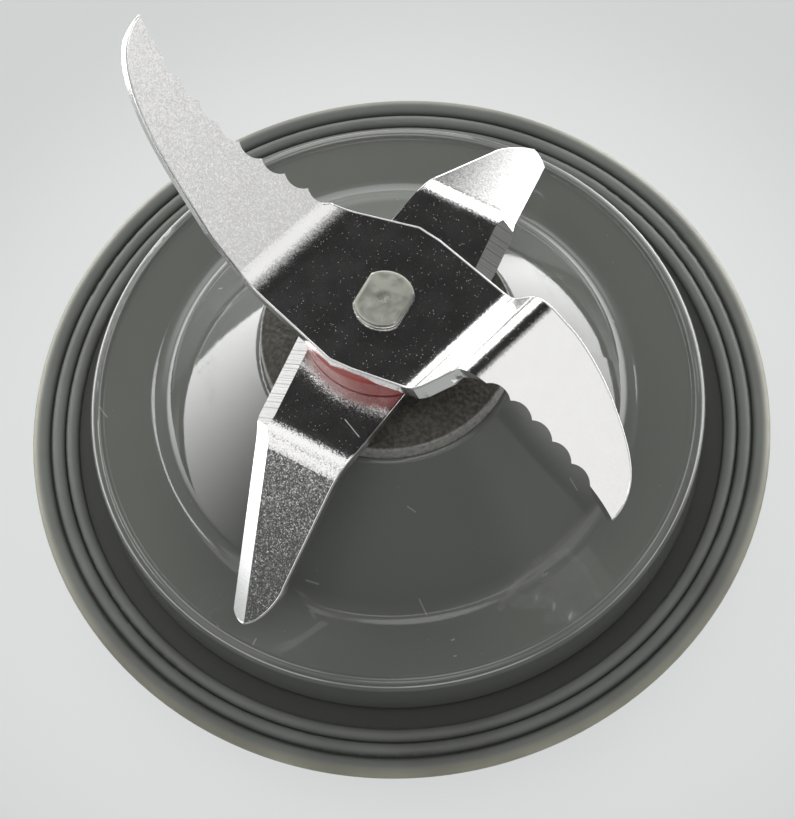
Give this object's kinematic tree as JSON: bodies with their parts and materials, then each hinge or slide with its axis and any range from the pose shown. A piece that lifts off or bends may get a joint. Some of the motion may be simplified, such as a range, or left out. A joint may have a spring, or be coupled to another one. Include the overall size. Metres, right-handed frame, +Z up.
{
  "type": "blender blade assembly",
  "caption": "Jug blender blade unit: grey base with a conical hub and ridged gasket, carrying a bent bevelled lower blade and a bent scalloped upper blade on a riveted shaft",
  "frame": {"origin": "centre of the skirt's foot, on the table", "axes": "+Z up along the shaft, the raised arm of the upper blade to the back left and the bent-over arm to the front right"},
  "size_m": [0.0854, 0.0854, 0.0668],
  "materials": {
    "base_plastic": "glossy grey moulding",
    "gasket_rubber": "satin grey rubber",
    "disc_black": "coarse grained black",
    "seal_rubber": "black rubber",
    "spring_steel": "hardened spring steel",
    "plain_steel": "turned steel",
    "bush_bronze": "sintered bronze, oiled",
    "felt": "oiled felt",
    "housing_plastic": "grey moulding",
    "screw_steel": "zinc plated",
    "shaft_steel": "ground steel, peened end",
    "blade_steel": "bright rolled stainless sheet with ground edges",
    "spacer_red": "red plastic",
    "coupling_plastic": "black moulding",
    "insert_brass": "tapped brass"
  },
  "bodies": {
    "base": {"base_body": "base_plastic", "rim_gasket": "gasket_rubber", "top_disc": "disc_black", "lip_seal": "seal_rubber", "seal_spring": "spring_steel", "bearing_sleeve": "plain_steel", "upper_bush": "bush_bronze", "oil_felt": "felt", "lower_bush": "bush_bronze", "lower_housing": "housing_plastic", "housing_screws": "screw_steel"},
    "rotor": {"drive_shaft": "shaft_steel", "upper_thrust_washer": "plain_steel", "lower_thrust_washer": "plain_steel", "retaining_clip": "spring_steel", "support_washer": "plain_steel", "lower_blade": "blade_steel", "blade_spacer": "spacer_red", "upper_blade": "blade_steel", "drive_coupling": "coupling_plastic", "coupling_insert": "insert_brass"}
  },
  "joints": [
    {"name": "blade_spin", "type": "hinge", "parent": "base", "child": "rotor", "pos_m": [0, 0, 0], "axis": [0, 0, 1], "continuous": true}
  ]
}
